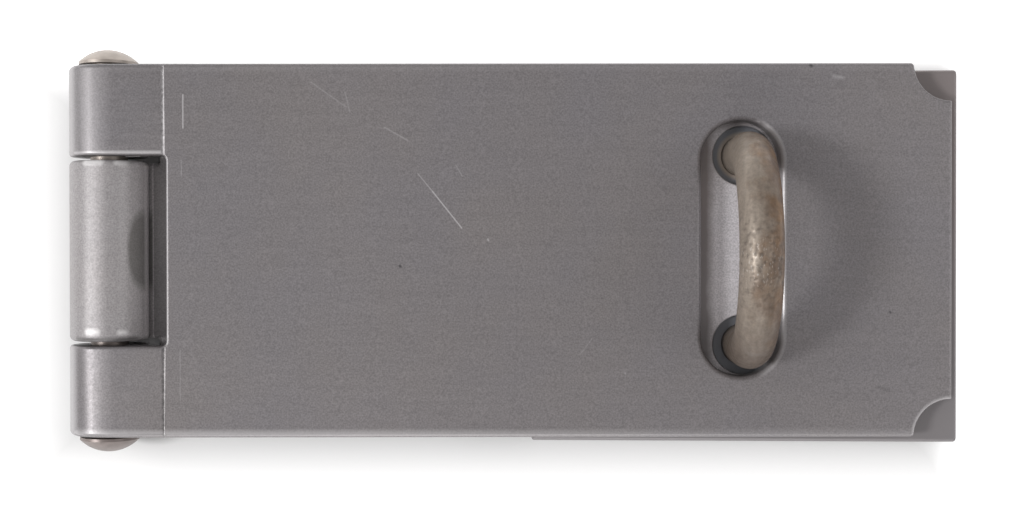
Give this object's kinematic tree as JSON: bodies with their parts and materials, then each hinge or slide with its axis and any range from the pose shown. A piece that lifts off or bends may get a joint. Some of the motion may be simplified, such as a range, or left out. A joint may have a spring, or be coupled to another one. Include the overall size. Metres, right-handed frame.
{
  "type": "fixed staple hasp",
  "caption": "Flat steel hasp: a slotted strap swings on a pinned hinge leaf and drops over a round U staple fixed in its own plate, to be closed with a padlock.",
  "frame": {"origin": "centre of the hinge leaf's screw holes, on the mounting surface", "axes": "+X from the hinge pin toward the staple, +Z off the mounting surface, Y along the hinge pin"},
  "size_m": [0.1533, 0.0698, 0.0309],
  "materials": {
    "strap_steel": "dull mill finish, lightly scratched",
    "leaf_steel": "mill finish, a little brighter than the strap",
    "pin_steel": "satin, peened ends",
    "plate_steel": "mill finish, browned at the edges",
    "staple_steel": "rough drawn rod, tan"
  },
  "bodies": {
    "base": {"hinge_leaf": "leaf_steel", "hinge_pin": "pin_steel", "staple_plate": "plate_steel", "staple": "staple_steel"},
    "strap": {"strap": "strap_steel"}
  },
  "joints": [
    {"name": "strap_hinge", "type": "hinge", "parent": "base", "child": "strap", "pos_m": [-0.0352, 0, 0.00683], "axis": [0, -1, 0], "range_deg": [0, 180]}
  ]
}
